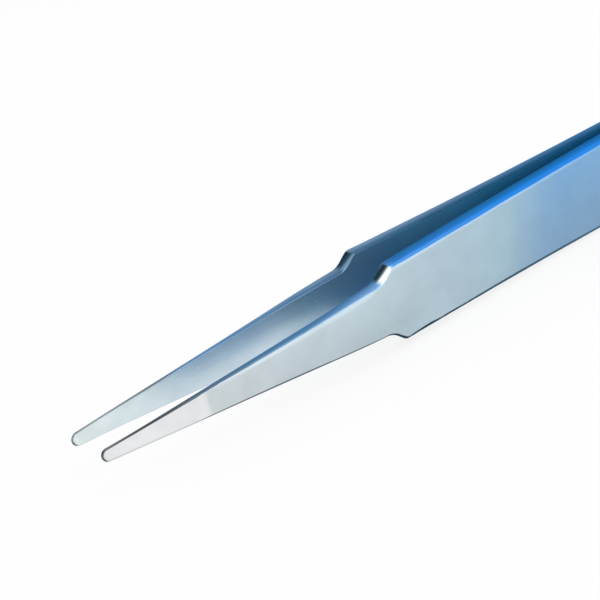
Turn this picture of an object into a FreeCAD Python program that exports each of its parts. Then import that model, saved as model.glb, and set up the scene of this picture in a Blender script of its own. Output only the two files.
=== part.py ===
import FreeCAD, Part
from FreeCAD import Vector
import math
import os

# Flat tweezers with rounded tips, in millimetres.
# The tips point to -X, the arms open along Y and the width of each arm stands along Z.
# Two mirrored spring arms meet face to face over a short length at the tail.

# Places along the length, measured from the tips
length = 120.0
grind_from_tip = 13.7
knee_from_tip = 36.7
shoulder_from_tip = 40.6
widest_from_tip = 86.0
weld_length = 13.0

# Outline of an arm, seen square on to its faces
tip_width = 1.6
neck_width = 6.35
shoulder_width = 9.5
widest_width = 11.0
tail_width = 5.0
flank_angle = 42.0
neck_fillet = 2.6
shoulder_corner = 0.95
waist_inset = 0.10
waist_blend = 3000.0
widest_blend = 12.0

# Bend of an arm, seen along its edges
arm_thickness = 2.05
bow_radius = 870.0
knee_radius = 115.0
nip_length = 7.0
nip_radius = 94.0

# Thinning of the outer face toward the tip
crown_radius = 150.0
taper_angle = 2.06
grind_thickness = 0.67
tip_thickness = 0.30

# Rounds along the edges of an arm
grip_round = 0.55
neck_round = 0.30
tip_round = 0.12
inner_break = 0.10

# Places along X that follow from the sizes above
tip_x = -length / 2
tail_x = length / 2
grind_x = tip_x + grind_from_tip
knee_x = tip_x + knee_from_tip
shoulder_x = tip_x + shoulder_from_tip
widest_x = tip_x + widest_from_tip
weld_x = tail_x - weld_length

# Depth of stock that is cut back to an arm, well past its width and its opening
stock = 3 * widest_width


# Plane geometry: x runs along the arm and y across it

def on_circle(centre, radius, turn):
    """Point of a circle, turned anticlockwise from +X by degrees."""
    angle = math.radians(turn)
    return centre.add(Vector(math.cos(angle), math.sin(angle), 0).multiply(radius))


def line(start, end):
    return Part.LineSegment(start, end).toShape()


def arc(centre, start, end):
    """Arc of less than half a turn about a centre."""
    radius = start.sub(centre).Length
    halfway = start.sub(centre).add(end.sub(centre)).normalize().multiply(radius)
    return Part.Arc(start, centre.add(halfway), end).toShape()


def wire(edges):
    return Part.Wire(Part.__sortEdges__(edges))


def touching_point(centre, radius, outside, side):
    """Where a line from an outside point touches a circle, on its upper side if side is 1 or -1."""
    away = outside.sub(centre)
    heading = math.degrees(math.atan2(away.y, away.x))
    return on_circle(centre, radius, heading + side * math.degrees(math.acos(radius / away.Length)))


def rounded_corner(before, corner, after, radius):
    """Start, centre and end of the arc that rounds a corner."""
    back = before.sub(corner).normalize()
    ahead = after.sub(corner).normalize()
    half = back.getAngle(ahead) / 2
    reach = radius / math.tan(half)
    inward = back.add(ahead).normalize()
    centre = corner.add(inward.multiply(radius / math.sin(half)))
    return corner.add(back.multiply(reach)), centre, corner.add(ahead.multiply(reach))


# Outline: a slim tapered blade, an S-shaped shoulder and a wide grip that narrows to the tail.
# Each edge of the grip is a trace hollow, so that the tweezers rest on its two ends and don't rock.

def outline():
    tip_centre = Vector(tip_x + tip_width / 2, 0, 0)
    tail_centre = Vector(tail_x - tail_width / 2, 0, 0)
    flank_run = (shoulder_width - neck_width) / 2 / math.tan(math.radians(flank_angle))
    neck = Vector(shoulder_x - flank_run, neck_width / 2, 0)
    shoulder = Vector(shoulder_x, shoulder_width / 2, 0)
    widest = Vector(widest_x, widest_width / 2, 0)
    waist = shoulder.add(widest).multiply(0.5).sub(Vector(0, waist_inset, 0))
    tip_side = touching_point(tip_centre, tip_width / 2, neck, 1)
    tail_side = touching_point(tail_centre, tail_width / 2, widest, -1)
    path = [tip_side, neck, shoulder, waist, widest, tail_side]
    radii = [neck_fillet, shoulder_corner, waist_blend, widest_blend]
    upper = [arc(tip_centre, Vector(tip_x, 0, 0), tip_side)]
    reached = tip_side
    for before, corner, after, radius in zip(path, path[1:], path[2:], radii):
        start, centre, end = rounded_corner(before, corner, after, radius)
        upper += [line(reached, start), arc(centre, start, end)]
        reached = end
    upper += [line(reached, tail_side), arc(tail_centre, tail_side, Vector(tail_x, 0, 0))]
    lower = [edge.mirror(Vector(0, 0, 0), Vector(0, 1, 0)) for edge in upper]
    return wire(upper + lower)


# Inner face: flat at the weld, bowed outward, bent back at the knee to a straight jaw that nips in at the tip

bow_centre = Vector(weld_x, bow_radius, 0)
bow_turn = math.degrees(math.asin((weld_x - knee_x) / bow_radius))
bow_end = on_circle(bow_centre, bow_radius, -90 - bow_turn)
knee_centre = on_circle(bow_centre, bow_radius + knee_radius, -90 - bow_turn)
jaw_end = on_circle(knee_centre, knee_radius, 90)
nip_start = Vector(tip_x + nip_length, jaw_end.y, 0)
nip_centre = Vector(nip_start.x, nip_start.y - nip_radius, 0)
inner_tip = on_circle(nip_centre, nip_radius, 90 + math.degrees(math.asin(nip_length / nip_radius)))


def inner_line():
    weld_end = Vector(weld_x, 0, 0)
    return [
        line(Vector(tail_x, 0, 0), weld_end),
        arc(bow_centre, weld_end, bow_end),
        arc(knee_centre, bow_end, jaw_end),
        line(jaw_end, nip_start),
        arc(nip_centre, nip_start, inner_tip),
    ]


# Outer face: it follows the bow, then a crown turns it into a plane that tapers to the tip

grind = Vector(grind_x, jaw_end.y + grind_thickness, 0)
outer_tip = Vector(tip_x, grind.y - grind_from_tip * math.tan(math.radians(taper_angle)), 0)
outer_radius = bow_radius - arm_thickness


def crown_place():
    """Centre of the crown, whose arc touches the tapered plane and the outside of the bow."""
    along = on_circle(Vector(0, 0, 0), 1, taper_angle)
    under = on_circle(grind, crown_radius, taper_angle - 90)
    offset = under.sub(bow_centre)
    middle = -offset.dot(along)
    spare = offset.Length ** 2 - (outer_radius + crown_radius) ** 2
    return under.add(along.multiply(middle - math.sqrt(middle ** 2 - spare)))


def outer_line():
    centre = crown_place()
    low = on_circle(centre, crown_radius, taper_angle + 90)
    high = centre.add(bow_centre.sub(centre).normalize().multiply(crown_radius))
    weld_end = Vector(weld_x, arm_thickness, 0)
    return [
        line(Vector(tail_x, arm_thickness, 0), weld_end),
        arc(bow_centre, weld_end, high),
        arc(centre, high, low),
        line(low, outer_tip),
    ]


# Sheets and stock, long enough along Y or Z to pass through the whole arm

def across(shape):
    """Extrude a side view along Z, through the width of the arm."""
    shape = shape.copy()
    shape.translate(Vector(0, 0, -stock / 2))
    return shape.extrude(Vector(0, 0, stock))


def through(shape):
    """Stand an outline up in XZ and extrude it along Y, through the thickness of the arm."""
    shape = shape.copy()
    shape.rotate(Vector(0, 0, 0), Vector(1, 0, 0), 90)
    shape.translate(Vector(0, -stock / 2, 0))
    return shape.extrude(Vector(0, stock, 0))


def rim(solid, face_sheet, edge_sheet):
    """Edges where a face of the arm meets its outline, with their numbers."""
    found = []
    for number, edge in enumerate(solid.Edges, 1):
        middle = Part.Vertex(edge.valueAt((edge.FirstParameter + edge.LastParameter) / 2))
        if max(face_sheet.distToShape(middle)[0], edge_sheet.distToShape(middle)[0]) < 1e-4:
            found.append((number, edge))
    return found


# Edge rounds: broad on the grip, fading through the shoulder and along the blade

def outer_round(x):
    """Radius of the outer edge at a place along the arm."""
    fade_start = shoulder_x - neck_fillet
    fade_end = shoulder_x + shoulder_corner
    if x < fade_start:
        share = (x - tip_x) / (fade_start - tip_x)
        return tip_round + share * (neck_round - tip_round)
    share = min(1.0, (x - fade_start) / (fade_end - fade_start))
    return neck_round + share * (grip_round - neck_round)


def ends_round_the_rim(edge):
    """Ends of an edge in one sense round the rim: to the tip above, back to the tail below."""
    start = edge.valueAt(edge.FirstParameter)
    end = edge.valueAt(edge.LastParameter)
    toward_tip = start.z + end.z > 0
    if (start.x > end.x) == toward_tip:
        return start, end
    return end, start


def round_outer_edge(solid, edges):
    radii = []
    for number, edge in edges:
        start, end = ends_round_the_rim(edge)
        radii.append((number, outer_round(start.x), outer_round(end.x)))
    document = FreeCAD.newDocument("arm")
    sharp = document.addObject("Part::Feature", "sharp_arm")
    sharp.Shape = solid
    rounded = document.addObject("Part::Fillet", "rounded_arm")
    rounded.Base = sharp
    rounded.Edges = radii
    document.recompute()
    return rounded.Shape.Solids[0]


# Tip: a short facet ground on the outer face after its edges are rounded

def grind_tip(solid):
    slope = (grind.y - inner_tip.y - tip_thickness) / grind_from_tip
    beyond = Vector(grind.x - stock, grind.y - slope * stock, 0)
    facet = [grind, beyond, Vector(beyond.x, stock, 0), Vector(grind.x, stock, 0), grind]
    return solid.cut(across(Part.Face(Part.makePolygon(facet))))


# Arm: the side view crossed with the outline, its edges rounded and its tip ground

def make_arm():
    inner = inner_line()
    outer = outer_line()
    ends = [line(inner_tip, outer_tip), line(Vector(tail_x, 0, 0), Vector(tail_x, arm_thickness, 0))]
    shape = outline()
    side = across(Part.Face(wire(inner + outer + ends)))
    arm = through(Part.Face(shape)).common(side).Solids[0]
    edge_sheet = through(shape)
    arm = round_outer_edge(arm, rim(arm, across(wire(outer)), edge_sheet))
    inner_rim = [edge for number, edge in rim(arm, across(wire(inner)), edge_sheet)]
    arm = arm.makeFillet(inner_break, inner_rim)
    arm = grind_tip(arm).Solids[0]
    arm.translate(Vector(0, 0, shape.BoundBox.YMax))
    return arm


# The tweezers stand on the lower edges of both arms, at z = 0
os.makedirs("parts", exist_ok=True)
right_arm = make_arm()
left_arm = right_arm.mirror(Vector(0, 0, 0), Vector(0, 1, 0))
for name, solid in (("left_arm", left_arm), ("right_arm", right_arm)):
    solid.exportStep("parts/" + name + ".step")
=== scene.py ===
import math

import bpy
from mathutils import Matrix, Vector


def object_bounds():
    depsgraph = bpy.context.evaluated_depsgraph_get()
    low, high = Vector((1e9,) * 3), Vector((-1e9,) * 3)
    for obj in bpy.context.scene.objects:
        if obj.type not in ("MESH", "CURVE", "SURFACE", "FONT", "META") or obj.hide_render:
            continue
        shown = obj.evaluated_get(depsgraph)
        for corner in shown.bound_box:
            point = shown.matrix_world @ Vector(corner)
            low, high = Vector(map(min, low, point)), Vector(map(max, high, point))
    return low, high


# Flat tweezers of polished steel, seen from the side and a little above, with the tips to the lower left.

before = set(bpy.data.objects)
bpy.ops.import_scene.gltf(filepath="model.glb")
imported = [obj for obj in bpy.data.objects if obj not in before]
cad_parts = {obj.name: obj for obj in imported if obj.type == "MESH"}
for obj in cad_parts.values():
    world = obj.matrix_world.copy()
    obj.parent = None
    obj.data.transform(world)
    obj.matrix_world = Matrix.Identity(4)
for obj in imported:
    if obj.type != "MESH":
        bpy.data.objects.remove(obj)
cad_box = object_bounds()
MM = 0.001
tip_x = cad_box[0][0]
length = cad_box[1][0] - tip_x
height = cad_box[1][2]


# Camera: a long lens close to the near arm, rolled a little about its own axis

camera_place = Vector((-161.9, -225.1, 128.6)) * MM
looks_at = Vector((-29.45, 0.0, 9.52)) * MM
camera_roll = math.radians(-14.14)
lens_mm = 152.3
film_mm = 36.0
nearest = 10 * MM


def place_camera():
    data = bpy.data.cameras.new("camera")
    data.lens = lens_mm
    data.sensor_width = film_mm
    data.clip_start = nearest
    camera = bpy.data.objects.new("camera", data)
    facing = (looks_at - camera_place).to_track_quat("-Z", "Y").to_matrix().to_4x4()
    roll = Matrix.Rotation(camera_roll, 4, "Z")
    camera.matrix_world = Matrix.Translation(camera_place) @ facing @ roll
    bpy.context.scene.collection.objects.link(camera)
    bpy.context.scene.camera = camera


# Nodes: a short way to add them, set their sockets and join them

class Graph:
    def __init__(self, owner):
        owner.use_nodes = True
        self.nodes = owner.node_tree.nodes
        self.links = owner.node_tree.links
        self.nodes.clear()

    def add(self, kind, sockets=None, **settings):
        """Add a node; a socket takes a value or another node's output."""
        made = self.nodes.new(kind)
        for name, value in settings.items():
            setattr(made, name, value)
        for name, value in (sockets or {}).items():
            if isinstance(value, bpy.types.NodeSocket):
                self.links.new(value, made.inputs[name])
            else:
                made.inputs[name].default_value = value
        return made

    def calc(self, operation, *values):
        return self.add("ShaderNodeMath", dict(enumerate(values)), operation=operation).outputs[0]

    def product(self, first, *others):
        for other in others:
            first = self.calc("MULTIPLY", first, other)
        return first

    def scale(self, value, low, high, to_low, to_high, **settings):
        """Carry a value from one range to another and hold it at the ends."""
        sockets = dict(enumerate((value, low, high, to_low, to_high)))
        return self.add("ShaderNodeMapRange", sockets, **settings).outputs[0]

    def fade(self, value, start, full):
        """A smooth step from 0 at start to 1 at full, which may be the lower of the two."""
        return self.scale(value, start, full, 0.0, 1.0, interpolation_type="SMOOTHSTEP")

    def ramp(self, value, stops):
        made = self.add("ShaderNodeValToRGB", {"Fac": value})
        elements = made.color_ramp.elements
        while len(elements) < len(stops):
            elements.new(1.0)
        for element, (place, colour) in zip(elements, stops):
            element.position = place
            element.color = colour
        return made.outputs["Color"]

    def mix(self, share, first, second, blend_type="MIX"):
        sockets = {0: share, 6: first, 7: second}
        return self.add("ShaderNodeMix", sockets, data_type="RGBA", blend_type=blend_type).outputs[2]


# Steel: bright polished faces, with painted reflections of blue light on the edges and the inside that
# clear to silver at the tips, and painted highlights and painted shade along the edges

def tone(code):
    """Linear colour of a six-digit sRGB code."""
    parts = [int(code[i:i + 2], 16) / 255 for i in (0, 2, 4)]
    return [p / 12.92 if p <= 0.04045 else ((p + 0.055) / 1.055) ** 2.4 for p in parts] + [1.0]


def along(stops):
    """Ramp stops from millimetres behind the tips."""
    return [(mm * MM / length, tone(code)) for mm, code in stops]


def through(stops):
    """Ramp stops through the thickness of an arm, from 0 on its inner face to 1 on its outer face."""
    return [(share, tone(code)) for share, code in stops]


def behind(start, full):
    """A span along the arms, from millimetres behind the tips to shares of the length."""
    return start * MM / length, full * MM / length


# Colours of the faces, the edges and the breaks between them: mostly painted reflections of blue light,
# painted highlights and painted shade
# Outer face: pale steel with a lighter ground facet at the tips, then a painted blue reflection toward the
# grip
outer_tints = along([(13.5, "EEF1F1"), (13.9, "D2DBDE"), (54, "B2CAD8"), (60, "A6C2D3")])
grip_low_reflection = tone("88AAC8")
grip_high_reflection = tone("84B0D8")
# Painted highlight on the outer round of the upper edge, where the overhead lamp would mirror
rim_highlight_tints = along([(14, "E6F2F8"), (40, "D0E6F6"), (74, "84B8E8")])
# Painted reflection on the rounds of the upper edge: dark at the tips, blue toward the grip
round_reflection_tints = along([
    (0, "44474A"), (10, "46525B"), (20, "54748E"), (28, "6088AA"), (36, "94B6D6"), (41, "4E9AE8"),
    (60, "2886E6")])
# Painted shade on the lower edge, where the shaded floor under the arm would mirror
foot_shade_tints = along([(0, "8E9294"), (40, "2C3A42"), (74, "567080")])
# Painted reflection on the inner face: silver at the tips, dark blue toward the grip where the other arm
# shades it
inner_reflection_tints = along([
    (0, "E8F2F2"), (14, "D2E2EA"), (27, "CCDCE9"), (32, "A8C0D0"), (46, "64A0C2"), (60, "388AB4"),
    (74, "247CAE")])
inner_shade_tint = tone("CEDBE6")
# Painted reflection on the break of the inner edge: a light highlight line near the tips, dark blue toward
# the grip
break_reflection_tints = along([
    (0, "8A9296"), (11, "7A8890"), (15, "84A4C8"), (30, "6488AA"), (39, "3E6486"), (43, "244868"),
    (74, "133B5C")])
# Painted highlight on the outer round of the shoulder's flank
flank_highlight_tint = tone("FAFFFE")
grazing_tint = (0.5, 0.7, 0.95, 1.0)

# Colours that differ between the arms: the painted blue reflection on the upper walls, the painted shade
# and highlight on the shoulders' flanks, and the painted shade on the ends of the tips
arm_looks = {
    "left_arm": {
        # Painted reflection on the upper wall, by its inner and by its outer face
        "inner_wall_reflection": along([
            (0, "808284"), (5, "54585B"), (10, "545A5E"), (15, "5C7084"), (22, "507898"),
            (39, "44709C"), (42, "266290"), (74, "125690")]),
        "outer_wall_reflection": along([
            (0, "707274"), (5, "484C4F"), (10, "484E52"), (15, "567088"), (26, "507AA0"),
            (38.5, "7CA6D6"), (42, "3478CA"), (58, "247CD2")]),
        # Painted shade on the flank wall and a painted highlight on its outer round
        "flank": through([
            (0, "4A6478"), (0.12, "223640"), (0.42, "1E2E34"), (0.6, "6C7A80"), (0.74, "FAFFFE")]),
        "flank_lean": -0.12,
        # Painted shade on the end of the tip
        "tip_shade_low": tone("101213"),
        "tip_shade_high": tone("1C1F20"),
    },
    "right_arm": {
        # Painted reflection on the upper wall, by its inner and by its outer face
        "inner_wall_reflection": along([
            (0, "767876"), (12, "62686C"), (17, "6086B0"), (35, "4E6E8C"), (43, "3C6082"),
            (60, "1C4664"), (74, "144068")]),
        "outer_wall_reflection": along([
            (0, "929494"), (12, "7E8488"), (17, "86A0C0"), (35, "7A96AC"), (39, "6C8094"),
            (43, "8C9AAD"), (60, "6A86A0"), (74, "4A7496")]),
        # Painted highlight on the inner break of the flank, then painted shade on the wall
        "flank": through([(0, "7E9EB8"), (0.22, "6A8AA2"), (0.42, "2E4A58"), (0.8, "162C38")]),
        "flank_lean": 0.12,
        # Painted shade on the end of the tip
        "tip_shade_low": tone("44484A"),
        "tip_shade_high": tone("8A9294"),
    },
}

# Shape of an arm in plain straights and one bow, by which the tints find their places
tip_radius_mm = 0.8
outline_rises_mm = (
    (tip_radius_mm, 37.0, tip_radius_mm, 3.18), (37.0, 40.6, 0.0, 1.57), (40.6, 86.0, 0.0, 0.75))
jaw_half = 3.22 * MM
weld_x = tip_x + 107 * MM
bow_radius = 870 * MM
tip_thickness = 0.3 * MM
arm_thickness = 2.05 * MM
thinned = behind(0.0, 45.6)

# In each pair of turns, spans, heights or depths a tint starts at the first and is full at the second.
# How a face is turned: outward is 1 on the outer face, 0 on the narrow walls and -1 on the inner face
rim_turn = (0.99, 0.96)
round_turn = (0.91, 0.79)
wall_turn = (0.4, 0.1)
break_turn = (-0.15, -0.4)
inner_turn = (-0.88, -0.97)
foot_turn = (0.995, 0.97)
upward_turn = (-0.05, 0.05)
tipward_turn = (-0.25, -0.55)
least_in_plane = 0.4

# Spans along the arms, from millimetres behind the tips
tip_end = behind(2.4, 1.2)
tip_line_end = behind(14.4, 12.0)
blade_start = behind(18.0, 26.4)
blade_end = behind(45.6, 39.6)
# Span over which the painted shade line along the lower edge grows
foot_line_rise = behind(3.6, 24.0)
# Spans of the painted highlight band along the upper edge
glow_start = behind(13.2, 21.6)
glow_widening = behind(20.4, 28.8)
glow_narrowing = behind(36.0, 43.2)
glow_fading = behind(36.0, 48.0)
# Span of the painted shade and highlight on the shoulder's flank
flank_start = behind(36.6, 38.4)
flank_end = behind(41.16, 40.32)
# Span of the painted shade across the upper jaw
inner_shade_start = behind(9.6, 18.0)
inner_shade_end = behind(32.4, 24.0)
smudges_thinning = behind(12.0, 36.0)
dulling = behind(31.2, 55.2)
# Where the painted blue reflection of the grip begins on the outer face, slanted with height
grip_blue = (tip_x + 54 * MM, tip_x + 65 * MM)
grip_slant = -0.4

# Heights above the middle line, depths inside the outline, places on the round of the tip, and shares
# of the thickness
upper_heights = (-0.3 * MM, 0.3 * MM)
# Heights of the painted shade and light across the blade
blade_heights = (-2.5 * MM, 2.0 * MM)
inner_shade_heights = (-1.6 * MM, 1.2 * MM)
lean_heights = (3.5 * MM, 4.6 * MM)
# Depth of the painted shade line along the lower edge
foot_line_depths = (0.34 * MM, 0.04 * MM)
# Depth of the painted highlight line on the flank
flank_highlight_depths = (0.55 * MM, 0.25 * MM)
tip_line_depths = (0.26 * MM, 0.14 * MM)
# Depth of the painted shade line round the end of the tip
end_rim_depths = (0.32 * MM, 0.04 * MM)
end_rim_start = (-0.1 * MM, -0.6 * MM)
# Widths of the painted highlight band along the upper edge
glow_narrow = 0.7 * MM
glow_wide = 1.05 * MM
glow_full = 0.45 * MM
wall_blend = (0.0, 0.9)

# Strengths of the painted shades, highlights and lines
# Painted shade and light across the blade, darker at its lower edge and lighter at its upper edge
blade_low_shade = 0.91
blade_high_shade = 1.06
# Strengths of the painted shade line along the lower edge
foot_line_low = 0.7
foot_line_at_tip = 0.5
# Strength of the painted highlight band on the grip
glow_on_grip = 0.4
# Painted shade round the end of the tip, weaker on its upper half
end_rim_high = 0.3
smudge_at_tip = 0.91
smudge_on_grip = 0.96
smudge_bright = 1.03
# Painted shade, darker toward the lower edge and lighter toward the upper edge
lower_shade = 0.96
upper_shade = 1.03

# Finish: fine lengthwise grain, soft smudges, and a duller inside toward the grip
noise_detail = 3.0
noise_range = (0.3, 0.7)
grain_stretch = (60, 900, 2600)
smudge_scale = 300.0
grain_roughness = (0.22, 0.28)
grain_bump = 0.03
grain_height = 0.01 * MM
dull_roughness = 0.2
dull_metal = 0.5


class ArmSteel(Graph):
    """The steel of one arm, with painted reflections, highlights and shade that are fixed to the metal by
    place.
    """

    def __init__(self, material, looks):
        super().__init__(material)
        self.looks = looks
        coordinates = self.add("ShaderNodeTexCoord")
        self.place = coordinates.outputs["Object"]
        self.x, y, self.z = self.add("ShaderNodeSeparateXYZ", {0: self.place}).outputs
        normal = coordinates.outputs["Normal"]
        facing_x, facing_y, facing_z = self.add("ShaderNodeSeparateXYZ", {0: normal}).outputs
        self.behind_tip = self.calc("DIVIDE", self.calc("SUBTRACT", self.x, tip_x), length)
        self.above_middle = self.calc("SUBTRACT", self.z, height / 2)
        self.upper = self.fade(self.above_middle, *upper_heights)
        self.outward = self.calc("MULTIPLY", facing_y, self.calc("SIGN", y))
        self.upward = self.fade(facing_z, *upward_turn)
        self.tipward = self.turned_to_tip(facing_x, facing_y)
        self.is_inner = self.fade(self.outward, *inner_turn)
        self.depth = self.depth_share(y)
        before = self.calc("SUBTRACT", self.x, tip_x + tip_radius_mm * MM)
        self.before_tip = self.calc("MINIMUM", before, 0.0)
        self.from_edge = self.inside_outline()

    def turned_to_tip(self, facing_x, facing_y):
        """1 where the edge of the outline turns toward the tips."""
        squared = self.calc("MULTIPLY", facing_y, facing_y)
        in_plane = self.calc("SQRT", self.calc("SUBTRACT", 1.0, squared))
        share = self.calc("DIVIDE", facing_x, self.calc("MAXIMUM", in_plane, least_in_plane))
        return self.fade(share, *tipward_turn)

    def depth_share(self, y):
        """Place through the thickness of the arm, from 0 on its inner face to 1 on its outer face."""
        reach = self.calc("MAXIMUM", self.calc("SUBTRACT", weld_x, self.x), 0.0)
        bow = self.calc("DIVIDE", self.calc("MULTIPLY", reach, reach), 2 * bow_radius)
        inner_half = self.calc("MINIMUM", bow, jaw_half)
        thickness = self.scale(self.behind_tip, *thinned, tip_thickness, arm_thickness)
        return self.calc("DIVIDE", self.calc("SUBTRACT", self.calc("ABSOLUTE", y), inner_half), thickness)

    def inside_outline(self):
        """Distance inside the outline of the arm, round the tip too."""
        rises = [
            self.scale(self.x, tip_x + start * MM, tip_x + end * MM, low * MM, high * MM)
            for start, end, low, high in outline_rises_mm]
        outline_half = self.calc("ADD", self.calc("ADD", rises[0], rises[1]), rises[2])
        squared = self.calc("POWER", self.above_middle, 2.0)
        off_middle = self.calc("SQRT", self.calc("MULTIPLY_ADD", self.before_tip, self.before_tip, squared))
        return self.calc("SUBTRACT", outline_half, off_middle)

    def noise(self, place, scale):
        sockets = {"Vector": place, "Scale": scale, "Detail": noise_detail}
        return self.add("ShaderNodeTexNoise", sockets).outputs["Fac"]

    def between(self, start, end):
        """1 between two spans along the arm."""
        return self.product(self.fade(self.behind_tip, *start), self.fade(self.behind_tip, *end))

    def outer_face(self):
        """Pale steel with a painted blue reflection toward the grip, and painted shade and light across the
        blade, darker low and lighter high.
        """
        blue = self.mix(self.fade(self.z, 0.0, height), grip_low_reflection, grip_high_reflection)
        slanted = self.calc("MULTIPLY_ADD", self.z, grip_slant, self.x)
        face = self.mix(self.fade(slanted, *grip_blue), self.ramp(self.behind_tip, outer_tints), blue)
        on_blade = self.between(blade_start, blade_end)
        lowest = self.scale(on_blade, 0.0, 1.0, 1.0, blade_low_shade)
        highest = self.scale(on_blade, 0.0, 1.0, 1.0, blade_high_shade)
        shade = self.scale(self.above_middle, *blade_heights, lowest, highest)
        return self.mix(1.0, face, shade, "MULTIPLY")

    def foot_shade_line(self):
        """Share of the painted shade line along the lower edge of the outer face, where the shaded floor
        would mirror.
        """
        line = self.fade(self.from_edge, *foot_line_depths)
        low = self.scale(self.upper, 0.0, 1.0, foot_line_low, 0.0)
        return self.product(line, low, self.scale(self.behind_tip, *foot_line_rise, foot_line_at_tip, 1.0))

    def glow(self):
        """Share of the painted highlight band along the upper edge of the outer face, widest on the blade.
        """
        widening = self.scale(self.behind_tip, *glow_widening, glow_narrow, glow_wide)
        narrowing = self.scale(self.behind_tip, *glow_narrowing, glow_wide, glow_narrow)
        band = self.fade(self.from_edge, self.calc("MINIMUM", widening, narrowing), glow_full)
        fading = self.scale(self.behind_tip, *glow_fading, 1.0, glow_on_grip)
        return self.product(band, fading, self.upper, self.fade(self.behind_tip, *glow_start))

    def flank_highlight(self):
        """Share of the painted white highlight line where the outer face meets the upper flank of the
        shoulder.
        """
        line = self.fade(self.from_edge, *flank_highlight_depths)
        return self.product(line, self.between(flank_start, flank_end), self.upper)

    def tip_line(self):
        """Share of the upper wall's painted reflection that laps onto the faces near the tip."""
        line = self.fade(self.from_edge, *tip_line_depths)
        return self.product(line, self.fade(self.behind_tip, *tip_line_end), self.upper)

    def end_shade_line(self):
        """Share of the painted shade line round the end of the tip."""
        line = self.fade(self.from_edge, *end_rim_depths)
        round_tip = self.fade(self.before_tip, *end_rim_start)
        return self.product(line, round_tip, self.scale(self.upper, 0.0, 1.0, 1.0, end_rim_high))

    def wall(self):
        """Upper wall of the arm, a painted reflection that is blue toward the grip, from its inner to its
        outer face.
        """
        inner = self.ramp(self.behind_tip, self.looks["inner_wall_reflection"])
        outer = self.ramp(self.behind_tip, self.looks["outer_wall_reflection"])
        return self.mix(self.fade(self.depth, *wall_blend), inner, outer)

    def flank(self, foot, tip):
        """Faces turned to the tips: the shoulder's flank, banded through the thickness in painted shade and
        a painted highlight, and the end in painted shade.
        """
        lean = self.looks["flank_lean"]
        shift = self.scale(self.above_middle, *lean_heights, -lean, lean)
        bands = self.ramp(self.calc("ADD", self.depth, shift), self.looks["flank"])
        return self.mix(self.fade(self.behind_tip, *tip_end), self.mix(self.upper, foot, bands), tip)

    def inner_face(self):
        """Painted reflection, silver at the tips and blue toward the grip, with a painted shade across the
        upper jaw.
        """
        face = self.ramp(self.behind_tip, inner_reflection_tints)
        shade = self.product(
            self.fade(self.above_middle, *inner_shade_heights),
            self.between(inner_shade_start, inner_shade_end))
        return self.mix(shade, face, self.mix(1.0, face, inner_shade_tint, "MULTIPLY"))

    def tint(self):
        """Colour of the whole arm with its painted reflections, highlights and shade, from the outer face
        round to the inner one.
        """
        foot = self.ramp(self.behind_tip, foot_shade_tints)
        rim = self.ramp(self.behind_tip, rim_highlight_tints)
        rounds = self.ramp(self.behind_tip, round_reflection_tints)
        breaks = self.ramp(self.behind_tip, break_reflection_tints)
        wall = self.wall()
        tip = self.mix(self.upper, self.looks["tip_shade_low"], self.looks["tip_shade_high"])
        # Painted shade line below, painted highlight band above and painted highlight at the flank, on the
        # outer face
        face = self.mix(self.foot_shade_line(), self.outer_face(), foot)
        face = self.mix(self.glow(), face, rim)
        face = self.mix(self.flank_highlight(), face, flank_highlight_tint)
        # Painted highlight on the upper round, then the painted reflections on the round and on the wall
        above = self.mix(self.fade(self.outward, *rim_turn), face, rim)
        above = self.mix(self.fade(self.outward, *round_turn), above, rounds)
        above = self.mix(self.fade(self.outward, *wall_turn), above, wall)
        # Painted shade on the lower edge
        below = self.mix(self.fade(self.outward, *foot_turn), face, foot)
        tint = self.mix(self.upward, below, above)
        # Painted reflection of the upper wall lapping onto the faces near the tip
        tint = self.mix(self.tip_line(), tint, wall)
        # Painted reflection on the inner break, painted shade and highlight on the flanks and tip ends, and
        # the painted reflection and shade of the inner face
        tint = self.mix(self.fade(self.outward, *break_turn), tint, breaks)
        tint = self.mix(self.tipward, tint, self.flank(foot, tip))
        tint = self.mix(self.is_inner, tint, self.inner_face())
        # Painted shade round the end of the tip
        return self.mix(self.end_shade_line(), tint, tip)

    def finish(self):
        """Add grain, smudges and a painted shade, darker toward the lower edge, to the tint and join
        everything to the shader.
        """
        stretched = self.add("ShaderNodeMapping", {"Vector": self.place, "Scale": grain_stretch}).outputs[0]
        grain = self.noise(stretched, 1.0)
        smudges = self.noise(self.place, smudge_scale)
        darkest = self.scale(self.behind_tip, *smudges_thinning, smudge_at_tip, smudge_on_grip)
        # Smudges, and a painted shade that is darker toward the lower edge
        shade = self.product(
            self.scale(smudges, *noise_range, darkest, smudge_bright),
            self.scale(self.z, 0.0, height, lower_shade, upper_shade))
        tint = self.mix(1.0, self.tint(), shade, "MULTIPLY")
        dull = self.product(self.is_inner, self.scale(self.behind_tip, *dulling, 0.0, 1.0))
        rough = self.scale(grain, *noise_range, *grain_roughness)
        rough = self.calc("MULTIPLY_ADD", dull, dull_roughness, rough)
        metal = self.scale(dull, 0.0, 1.0, 1.0, dull_metal)
        relief = {"Height": grain, "Strength": grain_bump, "Distance": grain_height}
        bump = self.add("ShaderNodeBump", relief).outputs["Normal"]
        shader = self.add("ShaderNodeBsdfPrincipled", {
            "Base Color": tint, "Metallic": metal, "Roughness": rough,
            "Specular Tint": grazing_tint, "Normal": bump})
        self.add("ShaderNodeOutputMaterial", {"Surface": shader.outputs[0]})


def finish_arms():
    for name, looks in arm_looks.items():
        material = bpy.data.materials.new(name + "_steel")
        ArmSteel(material, looks).finish()
        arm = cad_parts[name]
        arm.data.materials.clear()
        arm.data.materials.append(material)


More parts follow.
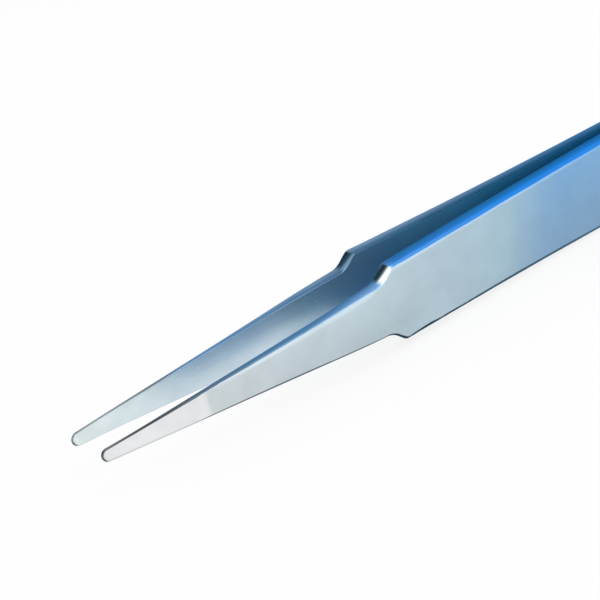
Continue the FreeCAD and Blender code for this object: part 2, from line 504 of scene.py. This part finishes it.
# Studio: a pale floor and an even white surround, with one broad lamp overhead

floor_size = 6.0
floor_glow = 0.85
floor_tint = tone("F2F2F2")
white = tone("FFFFFF")
surround_light = 0.9


def seen_directly(g):
    """1 for what the camera sees, straight or in a mirror, and 0 for light that falls on the scene."""
    path = g.add("ShaderNodeLightPath")
    direct = g.calc("ADD", path.outputs["Is Camera Ray"], path.outputs["Is Glossy Ray"])
    return g.calc("MINIMUM", g.calc("ADD", direct, path.outputs["Is Transmission Ray"]), 1.0)


def make_floor():
    bpy.ops.mesh.primitive_plane_add(size=floor_size, location=(0, 0, 0))
    floor = bpy.context.object
    floor.name = "floor"
    material = bpy.data.materials.new("pale_floor")
    g = Graph(material)
    paper = g.add("ShaderNodeBsdfDiffuse", {"Color": floor_tint})
    glow = g.add("ShaderNodeEmission", {"Color": white, "Strength": 1.0})
    share = g.calc("MULTIPLY", seen_directly(g), floor_glow)
    both = g.add("ShaderNodeMixShader", {0: share, 1: paper.outputs[0], 2: glow.outputs[0]})
    g.add("ShaderNodeOutputMaterial", {"Surface": both.outputs[0]})
    floor.data.materials.append(material)


def make_surround():
    world = bpy.data.worlds.new("surround")
    bpy.context.scene.world = world
    g = Graph(world)
    strength = g.scale(seen_directly(g), 0.0, 1.0, surround_light, 1.0)
    sky = g.add("ShaderNodeBackground", {"Color": white, "Strength": strength})
    g.add("ShaderNodeOutputWorld", {"Surface": sky.outputs[0]})


def add_lamp(name, place, target, size, watts):
    data = bpy.data.lights.new(name, "AREA")
    data.size = size
    data.energy = watts
    lamp = bpy.data.objects.new(name, data)
    aim = (Vector(target) - Vector(place)).to_track_quat("-Z", "Y").to_matrix().to_4x4()
    lamp.matrix_world = Matrix.Translation(Vector(place)) @ aim
    bpy.context.scene.collection.objects.link(lamp)


place_camera()
finish_arms()
make_floor()
make_surround()
add_lamp("overhead", place=(0.0, -0.15, 0.5), target=(-0.02, 0.0, 0.0), size=0.4, watts=0.6)
bpy.context.scene.view_settings.view_transform = "Standard"
